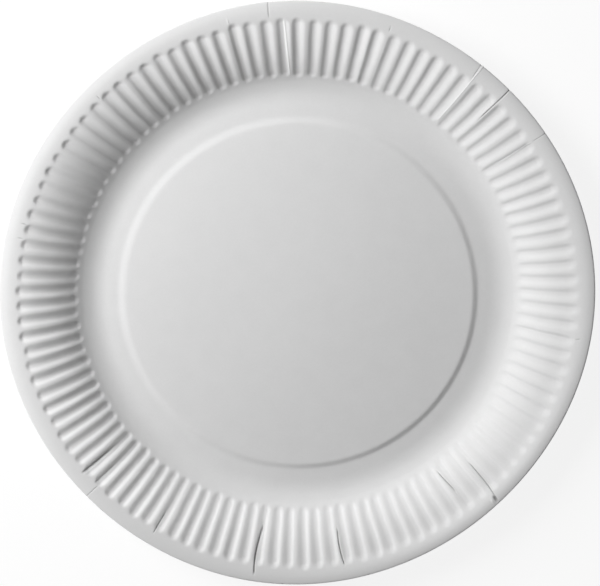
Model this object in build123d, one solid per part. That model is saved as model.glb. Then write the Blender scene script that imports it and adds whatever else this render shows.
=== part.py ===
"""Round paper plate, pressed from one sheet of board, with a fluted wall and a rolled rim.

Millimetres, +Z up. The origin is on the plate's axis, at the level of the surface it stands on.
The sheet is drawn as a chain of stations along its upper face, from the raised disc out to the
free edge, and its underside is the same chain moved down by the board's thickness.
"""

import os
from collections import namedtuple
from math import cos, degrees, radians, sin, tan

from build123d import *

# Driving dimensions
plate_diameter = 230.0
board = 0.45
disc_diameter = 140.6
disc_rise = 0.65
step_run = 2.8
foot_diameter = 155.0
hollow_diameter = 172.4
wall_slope = 37.0
flute_inner_diameter = 174.4
flute_outer_diameter = 218.0
shoulder_slope = 16.0
flute_count = 111
flute_depth = 0.65
groove_width = 4.0
groove_ramp = 1.2
roll_diameter = 226.0
edge_slope = -45.0

# Straight stretches that each curve of the section is pressed in
hollow_stretches = 3
wall_stretches = 3
roll_stretches = 2

# A place on the sheet's upper face: radius, height and slope, rising outwards, in degrees
Station = namedtuple("Station", "r z slope")


def bend(start, end_r, end_slope, stretches, margin=0.0):
    """Stations of an arc that leaves start's slope and comes to end_slope at end_r.

    A margin stops the arc short of both ends by that length.
    """
    radius = (end_r - start.r) / (sin(radians(start.slope)) - sin(radians(end_slope)))
    trim = degrees(margin / radius)
    first_slope = start.slope - trim
    turn = (end_slope + trim - first_slope) / stretches
    stations = []
    for number in range(stretches + 1):
        slope = first_slope + number * turn
        r = start.r + radius * (sin(radians(start.slope)) - sin(radians(slope)))
        z = start.z + radius * (cos(radians(slope)) - cos(radians(start.slope)))
        stations.append(Station(r, z, slope))
    return stations


def lifted(station, lift):
    """The point of the XZ plane at a distance along the sheet's normal from a station."""
    r = station.r - lift * sin(radians(station.slope))
    z = station.z + lift * cos(radians(station.slope))
    return Vector(r, 0, z)


def across(point, start_angle, end_angle):
    """Control points of a shallow arc about Z, from a point of the XZ plane."""
    half = (end_angle - start_angle) / 2
    apex = Vector(point.X / cos(radians(half)), 0, point.Z)
    corners = [(point, start_angle), (apex, start_angle + half), (point, end_angle)]
    return [corner.rotate(Axis.Z, angle) for corner, angle in corners]


def weights(start_angle, end_angle):
    """Weights of those control points, which make the arc a true circle's."""
    return [1.0, cos(radians(end_angle - start_angle) / 2), 1.0]


def arc(point, start_angle, end_angle):
    """An arc about Z between two angles, from a point of the XZ plane."""
    return Edge.make_bezier(*across(point, start_angle, end_angle), weights=weights(start_angle, end_angle))


# The section's stations, from the disc out to the free edge
disc_edge = Station(disc_diameter / 2 - step_run / 2, board + disc_rise, 0.0)
foot_start = Station(disc_diameter / 2 + step_run / 2, board, 0.0)
foot_end = Station(foot_diameter / 2, board, 0.0)
hollow = bend(foot_end, hollow_diameter / 2, wall_slope, hollow_stretches)
lead_run = (flute_inner_diameter - hollow_diameter) / 2
lead_rise = lead_run * tan(radians(wall_slope))
flute_start = Station(flute_inner_diameter / 2, hollow[-1].z + lead_rise, wall_slope)
flute_end_r = flute_outer_diameter / 2
wall = bend(flute_start, flute_end_r, shoulder_slope, wall_stretches)
valley = bend(flute_start, flute_end_r, shoulder_slope, wall_stretches, margin=groove_ramp)
# The wall ends in the level rim, so the board is measured straight down from there
wall[-1] = wall[-1]._replace(slope=0.0)
rim_end = Station(roll_diameter / 2, wall[-1].z, 0.0)
roll = bend(rim_end, plate_diameter / 2, edge_slope, roll_stretches)

# One pitch of the fluted wall holds one groove and one ridge
pitch = 360 / flute_count
groove = degrees(groove_width / ((wall[0].r + wall[-1].r) / 2))


def ridge_faces(lift):
    """The smooth band of wall between two grooves."""
    span = (groove / 2, pitch - groove / 2)
    rows = [across(lifted(station, lift), *span) for station in wall]
    pull = [weights(*span), weights(*span)]
    return [Face.make_bezier_surface([lower, upper], pull) for lower, upper in zip(rows, rows[1:])]


def groove_faces(lift):
    """The two sides of a groove and the short ramps that close its ends."""
    lip = [lifted(station, lift) for station in wall]
    bottom = [lifted(station, lift - flute_depth) for station in valley]
    faces = []
    for angle in (-groove / 2, groove / 2):
        brink = [point.rotate(Axis.Z, angle) for point in lip]
        for number in range(wall_stretches):
            top_line = Edge.make_line(brink[number], brink[number + 1])
            bottom_line = Edge.make_line(bottom[number], bottom[number + 1])
            faces.append(Face.make_surface_from_curves(top_line, bottom_line))
    for end, deep in ((lip[0], bottom[0]), (lip[-1], bottom[-1])):
        head = arc(end, -groove / 2, groove / 2)
        sides = [Edge.make_line(head @ 1, deep), Edge.make_line(deep, head @ 0)]
        faces.append(Face.make_surface([head] + sides))
    return faces


def turned_faces(stations, lift):
    """The bands of the sheet, smooth all the way round, between one station and the next."""
    points = [lifted(station, lift) for station in stations]
    lines = [Edge.make_line(inner, outer) for inner, outer in zip(points, points[1:])]
    return [Face.revolve(line, 360, Axis.Z) for line in lines]


def circle(station, lift):
    """The circle that a station goes round."""
    point = lifted(station, lift)
    return Wire([Edge.make_circle(point.X, Plane.XY.offset(point.Z))])


def rim_face(lift):
    """The level rim, whose inner outline meets each groove and each ridge."""
    point = lifted(wall[-1], lift)
    head = arc(point, -groove / 2, groove / 2)
    ridge_end = arc(point, groove / 2, pitch - groove / 2)
    outline = []
    for number in range(flute_count):
        outline += [edge.rotate(Axis.Z, number * pitch) for edge in (head, ridge_end)]
    return Face(circle(rim_end, lift), [Wire(outline)])


def sheet_side(lift):
    """Every face of one side of the sheet."""
    disc = Face(circle(disc_edge, lift))
    foot = Face(circle(foot_end, lift), [circle(foot_start, lift)])
    faces = [disc, foot, rim_face(lift)]
    for stations in ([disc_edge, foot_start], hollow, [hollow[-1], flute_start], roll):
        faces += turned_faces(stations, lift)
    flute = ridge_faces(lift) + groove_faces(lift)
    for number in range(flute_count):
        faces += [face.rotate(Axis.Z, number * pitch) for face in flute]
    return faces


free_edge = Edge.make_line(lifted(roll[-1], 0), lifted(roll[-1], -board))
skin = sheet_side(0) + sheet_side(-board) + [Face.revolve(free_edge, 360, Axis.Z)]
plate = Solid(Shell(skin))
plate.label = "plate"

os.makedirs("parts", exist_ok=True)
export_step(plate, "parts/plate.step")
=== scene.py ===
"""Looks of a round paper plate: one pressed sheet of white board on a plain pale stage."""

import random
from bisect import bisect_left
from collections import namedtuple
from math import ceil, cos, hypot, pi, radians, sin, tan

import bpy
from bpy.props import FloatProperty, FloatVectorProperty, IntProperty, PointerProperty
from mathutils import Matrix, Vector, noise


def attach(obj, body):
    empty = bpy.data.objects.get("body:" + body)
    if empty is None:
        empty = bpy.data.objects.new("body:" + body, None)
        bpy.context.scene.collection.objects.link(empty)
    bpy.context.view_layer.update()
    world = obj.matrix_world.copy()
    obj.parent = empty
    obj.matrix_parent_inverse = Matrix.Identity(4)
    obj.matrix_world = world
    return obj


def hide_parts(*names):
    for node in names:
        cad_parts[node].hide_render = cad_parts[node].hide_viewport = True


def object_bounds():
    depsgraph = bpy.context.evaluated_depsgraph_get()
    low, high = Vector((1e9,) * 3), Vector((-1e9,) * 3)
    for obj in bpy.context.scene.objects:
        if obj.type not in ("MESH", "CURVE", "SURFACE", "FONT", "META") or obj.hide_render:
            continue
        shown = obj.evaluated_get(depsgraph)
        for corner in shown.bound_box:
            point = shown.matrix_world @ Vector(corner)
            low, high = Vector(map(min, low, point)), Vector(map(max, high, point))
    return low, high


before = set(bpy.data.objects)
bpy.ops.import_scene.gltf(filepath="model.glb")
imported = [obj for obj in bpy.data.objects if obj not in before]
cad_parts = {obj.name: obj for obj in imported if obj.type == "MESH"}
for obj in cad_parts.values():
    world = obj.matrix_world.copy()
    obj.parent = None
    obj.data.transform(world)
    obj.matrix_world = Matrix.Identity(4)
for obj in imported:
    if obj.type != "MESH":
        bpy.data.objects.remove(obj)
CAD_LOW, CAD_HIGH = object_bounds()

bl_info = {
    "name": "Paper Plate",
    "version": (1, 0, 0),
    "blender": (4, 5, 0),
    "location": "3D View > Sidebar > Plate",
    "description": "Builds a fluted paper plate and the stage it is shown on",
    "category": "Add Mesh",
}

MM = 0.001
TURN = 2 * pi


def length(name, description, default):
    """A size in metres that a user may change."""
    return FloatProperty(name=name, description=description, default=default, min=0.0, precision=5,
                         unit="LENGTH", subtype="DISTANCE")


def slope(name, description, degrees):
    """An angle that a user may change."""
    return FloatProperty(name=name, description=description, default=radians(degrees),
                         subtype="ANGLE")


def share(name, description, default):
    """A plain factor that a user may change."""
    return FloatProperty(name=name, description=description, default=default, min=0.0, max=1.0,
                         subtype="FACTOR")


def amount(name, description, default, low=0.0):
    """A plain amount, such as a lamp's power, that a user may change."""
    return FloatProperty(name=name, description=description, default=default, min=low)


def tone(name, description, default):
    """A colour that a user may change."""
    return FloatVectorProperty(name=name, description=description, default=default, size=3,
                               min=0.0, max=1.0, subtype="COLOR")


class PlateForm(bpy.types.PropertyGroup):
    """Sizes of the pressed sheet."""

    plate_diameter: length("Plate Diameter", "Across the free edge", CAD_HIGH[0] - CAD_LOW[0])
    board: length("Board", "Thickness of the sheet", 0.45 * MM)
    disc_diameter: length("Disc Diameter", "Across the middle of the disc's step", 140.6 * MM)
    disc_rise: length("Disc Rise", "Height of the raised disc above the foot ring", 0.66 * MM)
    step_run: length("Step Run", "Width of the step round the disc", 5.1 * MM)
    foot_diameter: length("Foot Diameter", "Across the flat ring that it stands on", 155.0 * MM)
    hollow_diameter: length("Hollow Diameter", "Where the bend at the wall's foot ends", 176.8 * MM)
    wall_slope: slope("Wall Slope", "Slope at the foot of the wall", 41.5)
    flute_inner_diameter: length(
        "Flute Inner Diameter", "Where the grooves are nearly at their depth", 177.2 * MM)
    flute_outer_diameter: length("Flute Outer Diameter", "Where the grooves end", 218.0 * MM)
    waist_diameter: length("Waist Diameter", "Where the wall starts to ease quickly", 196.0 * MM)
    waist_slope: slope("Waist Slope", "Slope half-way up the wall", 27.0)
    shoulder_slope: slope("Shoulder Slope", "Slope at the top of the wall", 11.5)
    crown_diameter: length("Crown Diameter", "Where the wall has eased into the rim", 222.4 * MM)
    rim_slope: slope("Rim Slope", "Slope of the smooth rim", 7.0)
    roll_diameter: length("Roll Diameter", "Where the rim starts to roll down quickly", 228.6 * MM)
    roll_slope: slope("Roll Slope", "Slope at that place", -8.0)
    edge_slope: slope("Edge Slope", "Slope at the free edge", -42.0)
    flute_count: IntProperty(name="Flute Count", description="Grooves round the wall", default=111,
                             min=12)
    flute_depth: length("Flute Depth", "Depth of a groove", 0.74 * MM)
    groove_width: length("Groove Width", "Width of a groove half-way up the wall", 5.44 * MM)
    head_ramp: length("Head Ramp", "Length of the ramp at a groove's outer end", 1.7 * MM)
    toe_ramp: length("Toe Ramp", "Length of the ramp at a groove's inner end", 1.7 * MM)
    groove_arch: length("Groove Arch", "How far a groove's end bows out in the middle", 1.6 * MM)
    groove_lean: FloatProperty(name="Groove Lean", default=-0.10, min=-0.6, max=0.6,
                               description="How far a groove's line sits to one side")


class PlateWear(bpy.types.PropertyGroup):
    """Small differences that pressing and handling leave in the board."""

    seed: IntProperty(name="Seed", description="Start of the random differences", default=7)
    depth_change: share("Depth Change", "Difference of one groove's depth from the next", 0.12)
    width_change: share("Width Change", "Difference of one groove's width from the next", 0.04)
    place_change: share("Place Change", "Shift of a groove, as a share of the pitch", 0.035)
    soft_share: share("Soft Share", "How much shallower grooves are on the softest side", 0.35)
    soft_angle: slope("Soft Angle", "Where the softest side lies", 335.0)
    end_change: length("End Change", "Difference of the places where grooves end", 0.45 * MM)
    unevenness: length("Unevenness", "Slow waves in the board", 0.15 * MM)
    wobble: share("Wobble", "How far a groove's line wanders, as a share of half its width", 0.09)
    disc_lean: length("Disc Lean", "How much higher the disc stands on one side", 0.22 * MM)
    disc_shift: length("Disc Shift", "How far the disc is off the plate's centre", 0.35 * MM)
    step_change: share("Step Change", "How much narrower the step is on that side", 0.18)
    lean_angle: slope("Lean Angle", "Where the disc stands highest", 330.0)
    rim_tilt: slope("Rim Tilt", "How far the rim is bent up on one side", 9.0)
    tilt_angle: slope("Tilt Angle", "Where the rim is bent up", 320.0)
    open_share: share("Open Share", "How much less the free edge turns down on one side", 0.8)
    open_angle: slope("Open Angle", "Where the free edge is turned down least", 145.0)
    arch_rise: length("Arch Rise", "How much more the wall is arched on one side", 1.6 * MM)
    arch_angle: slope("Arch Angle", "Where the wall is arched the most", 212.0)


class PlateFinish(bpy.types.PropertyGroup):
    """Colours and surface of the board."""

    board_colour: tone("Board Colour", "White face of the board", (0.83, 0.83, 0.83))
    fibre_colour: tone("Fibre Colour", "Slightly greyer spots of the face", (0.78, 0.78, 0.78))
    # The crack colour is painted shade laid in the depth of the cracks
    crack_shade_colour: tone("Crack Colour", "Depth of a crack", (0.20, 0.20, 0.20))
    # The fold colour is a painted highlight laid on the raised edges of the folds
    fold_highlight_colour: tone("Fold Colour", "Raised edge of a crease", (0.92, 0.92, 0.92))
    roughness: share("Roughness", "Mean roughness of the face", 0.62)
    mottling: share("Mottling", "Strength of the fibre spots", 0.5)


class StageSetup(bpy.types.PropertyGroup):
    """Camera, lamps and floor."""

    camera_distance: length("Camera Distance", "From the plate's origin", 0.570)
    camera_tilt: slope("Camera Tilt", "Away from straight above", 11.66)
    camera_azimuth: slope("Camera Azimuth", "Side that the camera leans to", 83.75)
    camera_turn: slope("Camera Turn", "Direction of that side in the picture", 85.9)
    lens: amount("Lens", "Focal length in millimetres", 85.92, low=10.0)
    shift_x: amount("Shift X", "Sideways shift of the picture", 0.0042, low=-1.0)
    shift_y: amount("Shift Y", "Upward shift of the picture", 0.0060, low=-1.0)
    key_power: amount("Key Power", "Main lamp, in watts", 4.68)
    key_distance: length("Key Distance", "Main lamp from the plate", 0.63)
    key_azimuth: slope("Key Azimuth", "Side that the main lamp stands on", 145.0)
    key_elevation: slope("Key Elevation", "Height of the main lamp above the floor", 37.5)
    key_size: length("Key Size", "Edge of the main lamp's square", 0.35)
    fill_power: amount("Fill Power", "The stronger of the low side lamps, in watts", 2.1)
    fill_distance: length("Fill Distance", "Side lamps from the plate", 1.5)
    fill_elevation: slope("Fill Elevation", "Height of the side lamps", 6.0)
    fill_size: length("Fill Size", "Edge of a side lamp's square", 0.3)
    room_light: amount("Room Light", "Even light of the room", 0.055)
    floor_size: length("Floor Size", "From the floor's middle to its sides", 1.6)
    floor_colour: tone("Floor Colour", "The floor in the lamps' light", (0.86, 0.86, 0.86))
    floor_glow: amount("Floor Glow", "Strength of the plain white that the camera sees", 1.06)
    floor_white: share("Floor White", "How far the camera sees the floor as plain white", 0.82)


# A place on the sheet's upper face: radius and height in metres, slope in radians
Station = namedtuple("Station", "r z slope")
# A ring of the plate's middle: radius in metres, and height as a share of the disc's
Ring = namedtuple("Ring", "r height")
# One groove: its angle, depth, half width as an angle, both ends along the section, the length of
# the ramp at its outer end, and the width of its steeper side
Flute = namedtuple("Flute", "angle depth half start end ramp steep")
# A crease of the wall: its place counted in flutes, at its outer and inner end, the two radii as
# shares of the plate's, depth (raised when negative) and half width in millimetres, the painted
# shade of its crack, the painted highlight of its fold, and how far its middle bows to one side, in
# flutes
Crease = namedtuple("Crease", "outer inner outer_r inner_r depth half dark light bow",
                    defaults=[0.0])

CREASES = [
    Crease(10.20, 10.23, 1.000, 0.948, 0.10, 0.28, 0.35, 0.0),
    Crease(10.23, 10.14, 0.948, 0.820, -0.12, 0.40, 0.0, 0.5),
    Crease(13.50, 13.50, 1.000, 0.865, 0.30, 0.30, 0.8, 0.0),
    Crease(15.70, 15.63, 1.000, 0.950, 0.12, 0.26, 0.35, 0.0),
    Crease(15.56, 15.52, 1.000, 0.770, -0.10, 0.36, 0.0, 0.6),
    Crease(21.43, 21.43, 0.972, 0.950, 0.20, 0.30, 0.4, 0.0),
    Crease(28.72, 28.74, 1.000, 0.950, 0.15, 0.28, 0.5, 0.0),
    Crease(27.85, 27.63, 0.945, 0.760, -0.18, 0.45, 0.0, 0.7),
    Crease(31.21, 31.21, 0.972, 0.950, -0.15, 0.35, 0.0, 0.7),
    Crease(40.40, 40.40, 0.962, 0.940, 0.15, 0.28, 0.4, 0.0),
    Crease(49.68, 49.68, 0.962, 0.938, 0.15, 0.28, 0.4, 0.0),
    Crease(50.61, 50.61, 0.962, 0.938, 0.15, 0.28, 0.3, 0.0),
    Crease(66.78, 66.84, 0.955, 0.820, 0.35, 0.80, 0.30, 0.0),
    Crease(67.80, 67.86, 0.948, 0.850, 0.14, 0.50, 0.10, 0.0),
    Crease(68.07, 68.05, 1.000, 0.940, 0.15, 0.30, 0.4, 0.3),
    Crease(72.82, 72.83, 0.958, 0.878, 0.25, 0.30, 0.6, 0.0),
    Crease(79.84, 80.02, 0.974, 0.806, 0.40, 0.46, 0.9, 0.0, -0.18),
    Crease(85.71, 85.60, 0.948, 0.822, 0.35, 0.36, 0.8, 0.0, -0.10),
    Crease(94.76, 94.45, 0.866, 0.780, 0.30, 0.30, 0.7, 0.0),
    Crease(96.60, 96.84, 0.970, 0.830, 0.28, 0.32, 0.60, 0.0, 0.05),
    Crease(96.44, 96.58, 0.994, 0.962, 0.45, 1.00, 0.80, 0.0),
    Crease(96.20, 96.26, 0.990, 0.966, -0.25, 0.60, 0.0, 0.5),
    Crease(108.22, 108.10, 0.968, 0.945, 0.15, 0.28, 0.4, 0.0),
]
# How far to its sides a crease has columns of its own, in half widths, how close together they
# are, and how close the other columns may come to them
CREASE_REACH = 1.8
CREASE_SPACING = 0.22 * MM
CREASE_GAP = 0.14 * MM
# A crease is looked for within this angle and fades out at its ends over so many millimetres, and
# its painted shade and painted highlight have this steep an edge
CREASE_SPAN = 0.05
CREASE_END = 1.2
MARK_EDGE = 1.4
# Radius at which those widths are taken as angles
RIM_R = 0.105

# Slow lobes of the rim's outline: how many, how far they stand out in millimetres, where one peaks
OUTLINE = [(0, -0.12, 0.0), (1, 0.54, 140.0), (2, 0.31, 43.0), (3, 0.26, 16.6), (4, 0.37, -2.2)]
# Where they start and the run over which they grow, as shares of the plate's radius
OUTLINE_START = 0.91
OUTLINE_RUN = 0.08

# Rings on the flat of the disc, as shares of its radius, and rings on its step
DISC_RINGS = (0.1, 0.25, 0.42, 0.58, 0.73, 0.86, 0.95, 1.0)
STEP_RINGS = 12
# Rings that lie on the step are within this share of its run from its middle
STEP_REACH = 0.51
# From the fine rings' start to the end of the flat foot
FOOT_LEAD = 1.5 * MM
# Rows of the section's longer stretches: a place on the stretch, and the rows before and after it
HOLLOW_ROWS = (0.66, 3, 9)
LOWER_ROWS = (0.16, 3, 5)
UPPER_ROWS = (0.72, 4, 8)
# Rows of its shorter ones, which are cut evenly
CROWN_ROWS = 5
ROLL_ROWS = 4
LIP_ROWS = 4

# Columns across one flute, counted in flutes from the groove's line
COLUMNS = (-0.5, -0.42, -0.31, -0.2, -0.1, 0.0, 0.1, 0.19, 0.28, 0.37)
# How far a groove starts before the flutes' inner circle and ends past the outer one, and half of
# what it is shorter by on the -X side
FLUTE_LEAD = 2.7 * MM
FLUTE_PAST = 0.6 * MM
FLUTE_SHORT = 0.33 * MM
# Width of a groove's steeper side, how much narrower it is on the softest side, and where its
# middle lies, all in half widths of the groove
STEEP_WIDTH = 0.78
STEEP_LOSS = 0.27
STEEP_MIDDLE = 0.63
# How much longer the ramps are on the softest side
SOFT_RAMP = 1.4
# The part of a groove's depth that its inner ramp reaches, and the length of the slow rest in ramps
TOE_PART = 0.66
TOE_REST = 9
# How quickly a groove's line wanders along it, and how far apart two grooves are in the noise
WOBBLE_RATE = 350.0
WOBBLE_APART = 3.7

# How quickly the slow waves change, and the runs over which they grow inside the disc's step and
# outside the hollow
WAVE_RATE = 22.0
DISC_WAVE_RUN = 0.012
WALL_WAVE_RUN = 0.02
# Where the rim's tilt starts, as a share of the plate's radius, and how gently
TILT_START = 0.9
TILT_EASE = 3 * MM
# The arch's end of rise and start of fall, as shares of the way from the foot to the free edge,
# how gently it falls, and how narrow it is round the plate
ARCH_TOP = 0.5
ARCH_FALL = 0.7
ARCH_EASE = 0.25
ARCH_POWER = 5

# Rows round the cut edge, as shares of the board, and how far it bulges
CUT_ROWS = (0.14, 0.5, 0.86)
CUT_BULGE = 0.10 * MM
# The underside has one row for so many of the face, and the rim's are counted from the edge
UNDER_STEP = 3
RIM_ROWS = 9

# Sizes of the board's spots: slow clouds, fibres and fine grain
CLOUD_SIZE = 9.0 * MM
FIBRE_SIZE = 0.9 * MM
GRAIN_SIZE = 0.35 * MM
# The range of clouds and fibres together over which spots grow
SPOT_RANGE = (0.75, 1.35)
# The range of fibres over which the roughness changes, and by how much to each side
ROUGH_RANGE = (0.25, 0.75)
ROUGH_CHANGE = 0.06
# The grain's part in the bump, beside the fibres
GRAIN_PART = 0.6

# Side lamps: name, azimuth in degrees, and power as a share
FILLS = (
    ("fill_lamp_back", 110.0, 0.4),
    ("fill_lamp_left", 200.0, 1.0),
    ("fill_lamp_front", 290.0, 1.0),
)


def even(count):
    """Shares of a stretch cut into equal parts, its start left out."""
    return [number / count for number in range(1, count + 1)]


def uneven(place, before, after):
    """The same for a stretch cut into equal parts before a place on it, and into others after."""
    return [place * part for part in even(before)] + [
        place + (1 - place) * part for part in even(after)]


def ease(value):
    """A smooth rise from 0 to 1."""
    value = min(max(value, 0.0), 1.0)
    return value * value * (3.0 - 2.0 * value)


def slow_ease(value):
    """A smooth rise from 0 to 1 that starts and ends very slowly."""
    return value ** 4 * (35 - 84 * value + 70 * value ** 2 - 20 * value ** 3)


def straight(value):
    """A nearly even rise from 0 to 1, rounded only at its ends."""
    value = 2.0 * min(max(value, 0.0), 1.0) - 1.0
    return (value - value ** 5 / 5 + 0.8) / 1.6


def sided(angle, peak, power=1):
    """A share that is 1 on one side of the plate and falls to 0 on the other."""
    return ((1 + cos(angle - peak)) / 2) ** power


def apart(angle, other):
    """How far one angle is from another, at most half a turn."""
    return (angle - other + pi) % TURN - pi


def flute_pitch(form):
    """The angle from one flute to the next."""
    return TURN / form.flute_count


def bend(start, end_r, end_slope, shares):
    """Stations along an arc that leaves start's slope and comes to end_slope at end_r."""
    radius = (end_r - start.r) / (sin(start.slope) - sin(end_slope))
    stations = []
    for part in shares:
        turned = start.slope + part * (end_slope - start.slope)
        r = start.r + radius * (sin(start.slope) - sin(turned))
        z = start.z + radius * (cos(turned) - cos(start.slope))
        stations.append(Station(r, z, turned))
    return stations


def centre_section(form):
    """Rings of the raised disc, its step and the inner part of the foot ring."""
    step_start = form.disc_diameter / 2 - form.step_run / 2
    rings = [Ring(step_start * part, 1.0) for part in DISC_RINGS]
    for part in even(STEP_RINGS):
        rings.append(Ring(step_start + part * form.step_run, 1 - slow_ease(part)))
    return rings


def wall_section(form):
    """Stations from the foot ring over the fluted wall and the rim to the free edge."""
    foot_end = Station(form.foot_diameter / 2, form.board, 0.0)
    stations = [foot_end._replace(r=foot_end.r - FOOT_LEAD), foot_end]
    stations += bend(foot_end, form.hollow_diameter / 2, form.wall_slope, uneven(*HOLLOW_ROWS))
    lead = (form.flute_inner_diameter - form.hollow_diameter) / 2
    lead_end = stations[-1].z + lead * tan(form.wall_slope)
    stations.append(Station(form.flute_inner_diameter / 2, lead_end, form.wall_slope))
    for end_diameter, end_slope, shares in (
        (form.waist_diameter, form.waist_slope, uneven(*LOWER_ROWS)),
        (form.flute_outer_diameter, form.shoulder_slope, uneven(*UPPER_ROWS)),
        (form.crown_diameter, form.rim_slope, even(CROWN_ROWS)),
        (form.roll_diameter, form.roll_slope, even(ROLL_ROWS)),
        (form.plate_diameter, form.edge_slope, even(LIP_ROWS)),
    ):
        stations += bend(stations[-1], end_diameter / 2, end_slope, shares)
    return stations


def nearest(wall, r):
    """The number of the station closest to a radius."""
    return min(range(len(wall)), key=lambda number: abs(wall[number].r - r))


def lengths_along(wall, start):
    """How far each station is along the section from one of them."""
    lengths = []
    for number in range(len(wall)):
        low, high = sorted((start, number))
        steps = zip(wall[low:high], wall[low + 1:high + 1])
        run = sum(hypot(b.r - a.r, b.z - a.z) for a, b in steps)
        lengths.append(run if number >= start else -run)
    return lengths


def make_flutes(form, wear, run):
    """Every groove of a wall of the given length, each a little different from the next."""
    chance = random.Random(wear.seed)
    middle_r = (form.flute_inner_diameter + form.flute_outer_diameter) / 4
    flutes = []
    for number in range(form.flute_count):
        angle = flute_pitch(form) * (number + wear.place_change * chance.uniform(-1, 1))
        soft = sided(angle, wear.soft_angle, 2)
        depth = form.flute_depth * (1 - soft * wear.soft_share)
        depth *= 1 + wear.depth_change * chance.uniform(-1, 1)
        half = form.groove_width / middle_r / 2
        half *= 1 + wear.width_change * chance.uniform(-1, 1)
        start = wear.end_change * chance.uniform(-1, 1) - FLUTE_LEAD
        end = run + wear.end_change * chance.uniform(-1, 1) - FLUTE_SHORT * (1 - cos(angle))
        ramp = form.head_ramp * (1 + SOFT_RAMP * soft)
        steep = STEEP_WIDTH - STEEP_LOSS * soft
        flutes.append(Flute(angle, depth, half, start, end, ramp, steep))
    return flutes


def column_angles(form, flutes):
    """Angles of the sheet's columns: across each groove, and close together at each crease."""
    pitch = flute_pitch(form)
    fine = []
    for crease in CREASES:
        places = (crease.outer, crease.inner, (crease.outer + crease.inner) / 2 + crease.bow)
        reach = CREASE_REACH * crease.half * MM / RIM_R
        first = min(places) * pitch - reach
        last = max(places) * pitch + reach
        count = ceil((last - first) / (CREASE_SPACING / RIM_R))
        fine += [first + (last - first) * number / count for number in range(count + 1)]
    fine.sort()
    kept = []
    for angle in [flute.angle + phase * pitch for flute in flutes for phase in COLUMNS]:
        place = bisect_left(fine, angle)
        beside = fine[max(place - 1, 0):place + 1]
        if all(abs(angle - other) > CREASE_GAP / RIM_R for other in beside):
            kept.append(angle)
    return sorted((angle % TURN) for angle in kept + fine)


def groove_shape(across, lean, steep):
    """Depth of a groove as a share, from -1 to 1 across it: a broad side, then a steeper one."""
    across = min(max(across, -1.0), 1.0)
    if across < lean:
        return straight((across + 1) / (1 + lean))
    part = min(max((across - lean - STEEP_MIDDLE) / steep + 0.5, 0.0), 1.0)
    return (1 + cos(pi * part)) / 2


def pressed(form, wear, flutes, angle, along):
    """How far the board is pressed in at an angle and a distance up the wall."""
    number = round(angle / flute_pitch(form)) % form.flute_count
    flute = flutes[number]
    across = apart(angle, flute.angle) / flute.half
    wander = noise.noise(Vector((along * WOBBLE_RATE, number * WOBBLE_APART, 0.5)))
    across += wear.wobble * (1 - across * across) * wander
    arch = form.groove_arch * min(across * across, 1.0)
    climb = (along - flute.start - arch) / (form.toe_ramp * flute.ramp / form.head_ramp)
    toe = TOE_PART * ease(climb) + (1 - TOE_PART) * ease(climb / TOE_REST)
    head = straight((flute.end - along - arch) / flute.ramp)
    return flute.depth * toe * head * groove_shape(across, form.groove_lean, flute.steep)


def crease_angle(crease, form, r):
    """The angle of a crease at one radius."""
    full = form.plate_diameter / 2
    part = (crease.outer_r * full - r) / ((crease.outer_r - crease.inner_r) * full)
    part = min(max(part, 0.0), 1.0)
    bowed = 4 * part * (1 - part) * crease.bow
    return flute_pitch(form) * (crease.outer + part * (crease.inner - crease.outer) + bowed)


def creased(form, angle, r):
    """Depth of the creases at a place on the sheet, and the painted shade and highlight they get
    there.
    """
    depth, dark, light = 0.0, 0.0, 0.0
    full = form.plate_diameter / 2
    for crease in CREASES:
        if abs(apart(angle, flute_pitch(form) * crease.outer)) > CREASE_SPAN:
            continue
        ends = ease((r - crease.inner_r * full) / MM / CREASE_END)
        # A crease that reaches the free edge doesn't fade out there
        if crease.outer_r < 1.0:
            ends *= ease((crease.outer_r * full - r) / MM / CREASE_END)
        aside = abs(apart(angle, crease_angle(crease, form, r))) * r
        near = 1.0 - aside / (crease.half * MM)
        if ends <= 0.0 or near <= 0.0:
            continue
        depth += crease.depth * MM * ends * near
        # Painted shade in a crack and painted highlight on a fold, fading to their sides
        dark = max(dark, crease.dark * ends * ease(near * MARK_EDGE))
        light = max(light, crease.light * ends * ease(near * MARK_EDGE))
    return depth, dark, light


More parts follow.
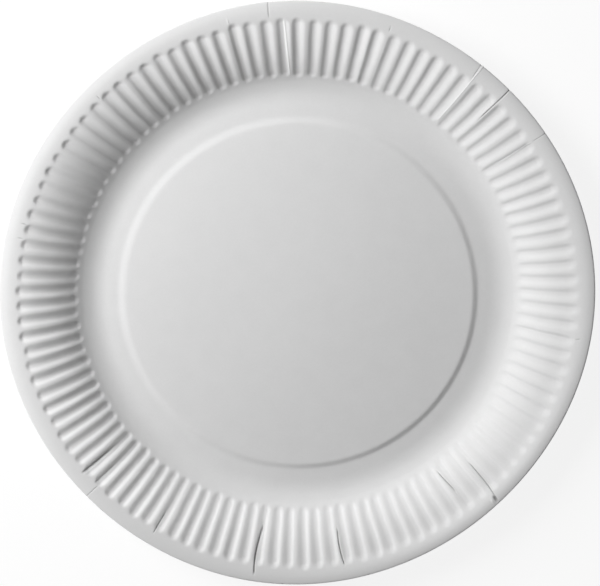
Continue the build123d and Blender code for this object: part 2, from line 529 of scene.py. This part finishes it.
class Press:
    """Where the sheet's points go once it is pressed and handled."""

    def __init__(self, form, wear, wall, flutes):
        self.form = form
        self.wear = wear
        self.flutes = flutes
        self.full = form.plate_diameter / 2
        self.crown = max(wall, key=lambda station: station.z)

    def out_of_round(self, r, angle):
        """How far the rim stands out of a true circle."""
        lobes = sum(far * MM * cos(count * (angle - radians(peak))) for count, far, peak in OUTLINE)
        return lobes * ease((r / self.full - OUTLINE_START) / OUTLINE_RUN)

    def waved(self, r, angle):
        """Slow unevenness of the board, none at the foot ring."""
        weight = ease((self.form.disc_diameter / 2 - r) / DISC_WAVE_RUN)
        weight += ease((r - self.form.hollow_diameter / 2) / WALL_WAVE_RUN)
        spot = Vector((r * cos(angle), r * sin(angle), 0.0)) * WAVE_RATE
        return self.wear.unevenness * weight * noise.noise(spot)

    def tilted(self, r, angle):
        """How far the bent side of the rim stands up."""
        out = max(r - TILT_START * self.full, 0.0)
        side = sided(angle, self.wear.tilt_angle)
        return tan(self.wear.rim_tilt) * side * out * out / (out + TILT_EASE)

    def arched(self, r, angle):
        """How far the wall stands up where its foot is steeper and its rim turns down."""
        foot_r = self.form.foot_diameter / 2
        out = (r - foot_r) / (self.full - foot_r)
        down = max((out - ARCH_FALL) / (1 - ARCH_FALL), 0.0)
        fall = (1 + ARCH_EASE) * down * down / (down + ARCH_EASE)
        side = sided(angle, self.wear.arch_angle, ARCH_POWER)
        return self.wear.arch_rise * side * (ease(out / ARCH_TOP) - fall)

    def opened(self, station, angle):
        """How far the free edge stands up where it is turned down less."""
        drop = self.crown.z - station.z if station.r > self.crown.r else 0.0
        return self.wear.open_share * drop * sided(angle, self.wear.open_angle, 2)

    def on_wall(self, station, along, lift):
        """Places on a station's ring, lifted along the sheet's normal."""
        def place(angle):
            depth, dark, light = creased(self.form, angle, station.r)
            depth += pressed(self.form, self.wear, self.flutes, angle, along)
            rise = lift - depth
            r = station.r - rise * sin(station.slope) + self.out_of_round(station.r, angle)
            z = station.z + rise * cos(station.slope) + self.waved(station.r, angle)
            z += self.tilted(station.r, angle) + self.arched(station.r, angle)
            z += self.opened(station, angle)
            return r, z, dark, light
        return place

    def on_middle(self, ring, lift):
        """Places on a ring of the plate's plain middle."""
        form, wear = self.form, self.wear
        disc_r = form.disc_diameter / 2
        beyond = ring.r - disc_r
        stepped = beyond if abs(beyond) < STEP_REACH * form.step_run else 0.0
        out = ease(ring.r / disc_r * 2 - 1)

        def place(angle):
            side = cos(angle - wear.lean_angle)
            r = ring.r + side * (wear.disc_shift * out - wear.step_change * stepped)
            rise = form.disc_rise + wear.disc_lean * side * min(ring.r / disc_r, 1.0)
            z = form.board + rise * ring.height + lift + self.waved(ring.r, angle)
            return r, z, 0.0, 0.0
        return place


class Sheet:
    """Points, faces and painted shade and highlight of the sheet as it is put together ring by
    ring.
    """

    def __init__(self):
        self.points = []
        self.faces = []
        self.crack_shades = []
        self.fold_highlights = []

    def ring(self, angles, place):
        """Adds a ring of points, one at each angle, and gives back their numbers."""
        first = len(self.points)
        for angle in angles:
            r, z, dark, light = place(angle)
            self.points.append((r * cos(angle), r * sin(angle), z))
            self.crack_shades.append(dark)
            self.fold_highlights.append(light)
        return list(range(first, len(self.points)))

    def join(self, inner, outer):
        """Faces between two rings with the same angles."""
        count = len(inner)
        for number in range(count):
            other = (number + 1) % count
            self.faces.append((inner[number], outer[number], outer[other], inner[other]))

    def stitch(self, inner, inner_angles, outer, outer_angles):
        """Faces between two rings with different angles."""
        here, there = 0, 0
        inner_turns = list(inner_angles) + [inner_angles[0] + TURN]
        outer_turns = list(outer_angles) + [outer_angles[0] + TURN]
        while here < len(inner) or there < len(outer):
            move_outer = here == len(inner)
            if here < len(inner) and there < len(outer):
                move_outer = outer_turns[there + 1] <= inner_turns[here + 1]
            a = inner[here % len(inner)]
            b = outer[there % len(outer)]
            if move_outer:
                there += 1
                self.faces.append((a, b, outer[there % len(outer)]))
            else:
                here += 1
                self.faces.append((a, b, inner[here % len(inner)]))

    def close(self, ring, middle, facing):
        """Faces from a ring to the point in its middle, facing up (1) or down (-1)."""
        for number in range(len(ring)):
            pair = (ring[number], ring[(number + 1) % len(ring)])
            self.faces.append((middle,) + pair[::facing])


def build_sheet(form, wear):
    """The whole sheet, from the middle of its face over the free edge to the middle underneath."""
    centre = centre_section(form)
    wall = wall_section(form)
    start = nearest(wall, form.flute_inner_diameter / 2)
    along = lengths_along(wall, start)
    run = along[nearest(wall, form.flute_outer_diameter / 2)] + FLUTE_PAST
    flutes = make_flutes(form, wear, run)
    press = Press(form, wear, wall, flutes)
    count = 2 * form.flute_count
    coarse = [TURN * number / count for number in range(count)]
    fine = column_angles(form, flutes)
    rows = list(zip(wall, along))
    under = rows[:start + 1:UNDER_STEP] + rows[start + 1:-RIM_ROWS:UNDER_STEP]
    under += rows[-RIM_ROWS::UNDER_STEP] + [rows[-1]]

    places = [(coarse, press.on_middle(ring, 0.0)) for ring in centre]
    places += [(fine, press.on_wall(*row, 0.0)) for row in rows]
    edge = wall[-1]
    for part in CUT_ROWS:
        bulge = CUT_BULGE * sin(pi * part)
        out = edge._replace(r=edge.r + bulge * cos(edge.slope), z=edge.z + bulge * sin(edge.slope))
        places.append((fine, press.on_wall(out, along[-1], -form.board * part)))
    places += [(fine, press.on_wall(*row, -form.board)) for row in reversed(under)]
    places += [(coarse, press.on_middle(ring, -form.board)) for ring in reversed(centre)]

    sheet = Sheet()
    rings = [(sheet.ring(angles, place), angles) for angles, place in places]
    for (inner, inner_angles), (outer, outer_angles) in zip(rings, rings[1:]):
        if inner_angles is outer_angles:
            sheet.join(inner, outer)
        else:
            sheet.stitch(inner, inner_angles, outer, outer_angles)
    for lift, ring, facing in ((0.0, rings[0][0], 1), (-form.board, rings[-1][0], -1)):
        middle = sheet.ring([0.0], press.on_middle(Ring(0.0, 1.0), lift))[0]
        sheet.close(ring, middle, facing)
    return sheet


def board_material(finish):
    """White board: faint fibre spots, a soft uneven face, painted shade and painted highlight at
    the creases.
    """
    material = bpy.data.materials.new("pressed_board")
    material.use_nodes = True
    nodes, links = material.node_tree.nodes, material.node_tree.links
    shader = nodes["Principled BSDF"]
    shader.inputs["Specular IOR Level"].default_value = 0.35
    place = nodes.new("ShaderNodeTexCoord")

    def spots(size, detail, roughness):
        """Noise with spots of about a size."""
        cloud = nodes.new("ShaderNodeTexNoise")
        cloud.inputs["Scale"].default_value = 1.0 / size
        cloud.inputs["Detail"].default_value = detail
        cloud.inputs["Roughness"].default_value = roughness
        links.new(place.outputs["Object"], cloud.inputs["Vector"])
        return cloud.outputs["Fac"]

    def ranged(value, spread, to_low, to_high):
        """A value's spread brought to another one."""
        node = nodes.new("ShaderNodeMapRange")
        node.inputs["From Min"].default_value = spread[0]
        node.inputs["From Max"].default_value = spread[1]
        node.inputs["To Min"].default_value = to_low
        node.inputs["To Max"].default_value = to_high
        links.new(value, node.inputs["Value"])
        return node.outputs["Result"]

    def blended(part, below, above):
        """One colour laid over another."""
        node = nodes.new("ShaderNodeMix")
        node.data_type = "RGBA"
        links.new(part, node.inputs["Factor"])
        for socket, colour in ((node.inputs[6], below), (node.inputs[7], above)):
            if hasattr(colour, "links"):
                links.new(colour, socket)
            else:
                socket.default_value = (*colour, 1.0)
        return node.outputs[2]

    def mark(name):
        """A painted mark of the creases kept on the sheet: their shade in one, their highlight in
        the other.
        """
        node = nodes.new("ShaderNodeAttribute")
        node.attribute_name = name
        return node.outputs["Fac"]

    clouds = spots(CLOUD_SIZE, 3.0, 0.55)
    fibres = spots(FIBRE_SIZE, 4.0, 0.65)
    grain = spots(GRAIN_SIZE, 2.0, 0.5)
    together = nodes.new("ShaderNodeMath")
    together.operation = "ADD"
    links.new(clouds, together.inputs[0])
    links.new(fibres, together.inputs[1])
    spotted = ranged(together.outputs[0], SPOT_RANGE, 0.0, finish.mottling)
    colour = blended(spotted, finish.board_colour, finish.fibre_colour)
    # Painted highlight on the folds' raised edges, then painted shade in the cracks
    colour = blended(mark("painted_fold_highlight"), colour, finish.fold_highlight_colour)
    colour = blended(mark("painted_crack_shade"), colour, finish.crack_shade_colour)
    links.new(colour, shader.inputs["Base Color"])
    smooth, coarse = finish.roughness - ROUGH_CHANGE, finish.roughness + ROUGH_CHANGE
    links.new(ranged(fibres, ROUGH_RANGE, smooth, coarse), shader.inputs["Roughness"])
    height = nodes.new("ShaderNodeMath")
    height.operation = "MULTIPLY_ADD"
    height.inputs[1].default_value = GRAIN_PART
    links.new(grain, height.inputs[0])
    links.new(fibres, height.inputs[2])
    bump = nodes.new("ShaderNodeBump")
    bump.inputs["Strength"].default_value = 0.30
    bump.inputs["Distance"].default_value = 0.05 * MM
    links.new(height.outputs[0], bump.inputs["Height"])
    links.new(bump.outputs["Normal"], shader.inputs["Normal"])
    return material


def floor_material(setup):
    """Pale floor that the camera sees as nearly plain white, with the plate's shadow left on it."""
    material = bpy.data.materials.new("stage_floor")
    material.use_nodes = True
    nodes, links = material.node_tree.nodes, material.node_tree.links
    nodes.remove(nodes["Principled BSDF"])
    matt = nodes.new("ShaderNodeBsdfDiffuse")
    matt.inputs["Color"].default_value = (*setup.floor_colour, 1.0)
    glow = nodes.new("ShaderNodeEmission")
    glow.inputs["Strength"].default_value = setup.floor_glow
    rays = nodes.new("ShaderNodeLightPath")
    seen = rays.outputs["Is Camera Ray"]
    for name in ("Is Glossy Ray", "Is Transmission Ray"):
        either = nodes.new("ShaderNodeMath")
        either.operation = "MAXIMUM"
        links.new(seen, either.inputs[0])
        links.new(rays.outputs[name], either.inputs[1])
        seen = either.outputs[0]
    part = nodes.new("ShaderNodeMath")
    part.operation = "MULTIPLY"
    part.inputs[1].default_value = setup.floor_white
    links.new(seen, part.inputs[0])
    mix = nodes.new("ShaderNodeMixShader")
    links.new(part.outputs[0], mix.inputs["Fac"])
    links.new(matt.outputs["BSDF"], mix.inputs[1])
    links.new(glow.outputs["Emission"], mix.inputs[2])
    links.new(mix.outputs["Shader"], nodes["Material Output"].inputs["Surface"])
    return material


def heading(azimuth, elevation):
    """The direction at an azimuth and a height above the floor."""
    level = cos(elevation)
    return Vector((level * cos(azimuth), level * sin(azimuth), sin(elevation)))


def add_floor(setup):
    """A level square floor under the plate."""
    half = setup.floor_size
    corners = [(-half, -half, 0.0), (half, -half, 0.0), (half, half, 0.0), (-half, half, 0.0)]
    mesh = bpy.data.meshes.new("stage_floor")
    mesh.from_pydata(corners, [], [(0, 1, 2, 3)])
    mesh.materials.append(floor_material(setup))
    floor = bpy.data.objects.new("stage_floor", mesh)
    bpy.context.scene.collection.objects.link(floor)


def add_lamp(name, direction, distance, size, power):
    """A square lamp that shines on the plate."""
    lamp = bpy.data.lights.new(name, "AREA")
    lamp.shape = "SQUARE"
    lamp.size = size
    lamp.energy = power
    holder = bpy.data.objects.new(name, lamp)
    holder.location = direction * distance
    holder.rotation_euler = direction.to_track_quat("Z", "Y").to_euler()
    bpy.context.scene.collection.objects.link(holder)


def set_world(setup):
    """Even soft light of the room."""
    world = bpy.data.worlds.new("studio")
    world.use_nodes = True
    back = world.node_tree.nodes["Background"]
    back.inputs["Color"].default_value = (1.0, 1.0, 1.0, 1.0)
    back.inputs["Strength"].default_value = setup.room_light
    bpy.context.scene.world = world


def add_camera(setup):
    """Camera above the plate, leaning to one side, as in the photograph."""
    lens = bpy.data.cameras.new("camera")
    lens.lens = setup.lens
    lens.sensor_width = 36.0
    lens.shift_x = setup.shift_x
    lens.shift_y = setup.shift_y
    lens.clip_start = 0.01
    holder = bpy.data.objects.new("camera", lens)
    back = heading(setup.camera_azimuth, pi / 2 - setup.camera_tilt)
    lean = heading(setup.camera_azimuth, 0.0)
    lean = (lean - back * lean.dot(back)).normalized()
    side = back.cross(lean)
    right = lean * cos(setup.camera_turn) - side * sin(setup.camera_turn)
    up = lean * sin(setup.camera_turn) + side * cos(setup.camera_turn)
    turn = Matrix((right, up, back)).transposed().to_4x4()
    holder.matrix_world = Matrix.Translation(back * setup.camera_distance) @ turn
    bpy.context.scene.collection.objects.link(holder)
    bpy.context.scene.camera = holder


class PLATE_OT_sheet(bpy.types.Operator):
    """Press the fluted sheet of board and give it its finish"""

    bl_idname = "plate.sheet"
    bl_label = "Plate Sheet"

    def execute(self, context):
        scene = context.scene
        sheet = build_sheet(scene.plate_form, scene.plate_wear)
        mesh = bpy.data.meshes.new("plate_sheet")
        mesh.from_pydata(sheet.points, [], sheet.faces)
        # The creases' painted shade and painted highlight are kept on the points for the material
        for name, values in (("painted_crack_shade", sheet.crack_shades), ("painted_fold_highlight", sheet.fold_highlights)):
            layer = mesh.attributes.new(name, "FLOAT", "POINT")
            layer.data.foreach_set("value", values)
        if mesh.validate():
            raise RuntimeError("the plate's sheet has faulty faces")
        mesh.shade_smooth()
        mesh.materials.append(board_material(scene.plate_finish))
        piece = bpy.data.objects.new("plate_sheet", mesh)
        scene.collection.objects.link(piece)
        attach(piece, "root")
        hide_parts("plate")
        return {"FINISHED"}


class PLATE_OT_stage(bpy.types.Operator):
    """Set the floor, the lamps and the camera"""

    bl_idname = "plate.stage"
    bl_label = "Stage"

    def execute(self, context):
        setup = context.scene.plate_stage
        add_floor(setup)
        key = heading(setup.key_azimuth, setup.key_elevation)
        add_lamp("key_lamp", key, setup.key_distance, setup.key_size, setup.key_power)
        for name, azimuth, part in FILLS:
            side = heading(radians(azimuth), setup.fill_elevation)
            add_lamp(name, side, setup.fill_distance, setup.fill_size, setup.fill_power * part)
        set_world(setup)
        add_camera(setup)
        context.scene.view_settings.view_transform = "Standard"
        return {"FINISHED"}


class PLATE_PT_panel(bpy.types.Panel):
    """Sizes, finish and stage of the plate"""

    bl_idname = "PLATE_PT_panel"
    bl_label = "Paper Plate"
    bl_space_type = "VIEW_3D"
    bl_region_type = "UI"
    bl_category = "Plate"

    def draw(self, context):
        for group in GROUPS:
            settings = getattr(context.scene, group)
            box = self.layout.box()
            for name in settings.__annotations__:
                box.prop(settings, name)
        self.layout.operator(PLATE_OT_sheet.bl_idname)
        self.layout.operator(PLATE_OT_stage.bl_idname)


GROUPS = {
    "plate_form": PlateForm,
    "plate_wear": PlateWear,
    "plate_finish": PlateFinish,
    "plate_stage": StageSetup,
}
CLASSES = (PLATE_OT_sheet, PLATE_OT_stage, PLATE_PT_panel)


def register():
    for name, group in GROUPS.items():
        bpy.utils.register_class(group)
        setattr(bpy.types.Scene, name, PointerProperty(type=group))
    for item in CLASSES:
        bpy.utils.register_class(item)


def unregister():
    for item in reversed(CLASSES):
        bpy.utils.unregister_class(item)
    for name, group in reversed(GROUPS.items()):
        delattr(bpy.types.Scene, name)
        bpy.utils.unregister_class(group)


def main():
    register()
    bpy.ops.plate.sheet()
    bpy.ops.plate.stage()


if __name__ == "__main__":
    main()
